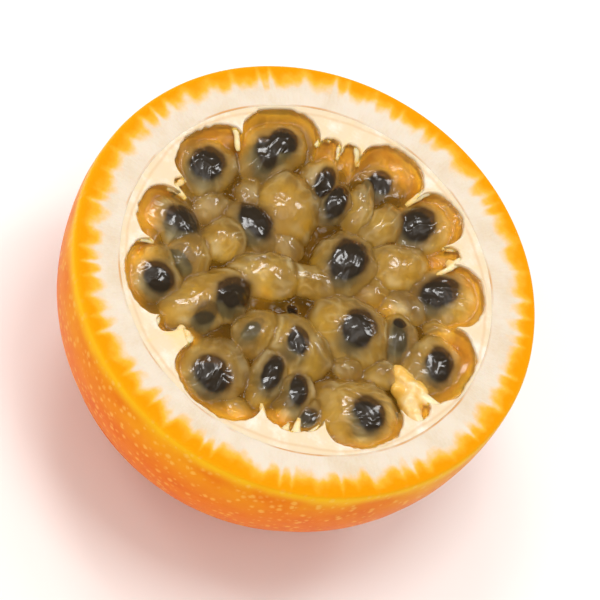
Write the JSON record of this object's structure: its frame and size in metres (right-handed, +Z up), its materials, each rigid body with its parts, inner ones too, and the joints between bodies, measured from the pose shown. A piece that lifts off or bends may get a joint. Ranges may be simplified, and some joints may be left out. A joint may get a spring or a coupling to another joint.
{
  "type": "passion fruit half",
  "caption": "Half of a round orange passion fruit, cut across: thick rind with white pith, folded lining, and jelly pulp with seeds.",
  "frame": {"origin": "centre of the small flat foot under the rind, on the surface that the half rests on", "axes": "+Z up, along the fruit's axis and square to the cut face, which looks up; +X to the right and +Y away from the viewer of the picture's side"},
  "size_m": [0.0702, 0.0702, 0.0388],
  "materials": {
    "rind": "waxy orange skin over white spongy pith",
    "lining": "moist cream membrane",
    "pulp": "wet clear jelly"
  },
  "bodies": {
    "root": {"rind": "rind", "lining": "lining", "pulp": "pulp"}
  },
  "joints": []
}
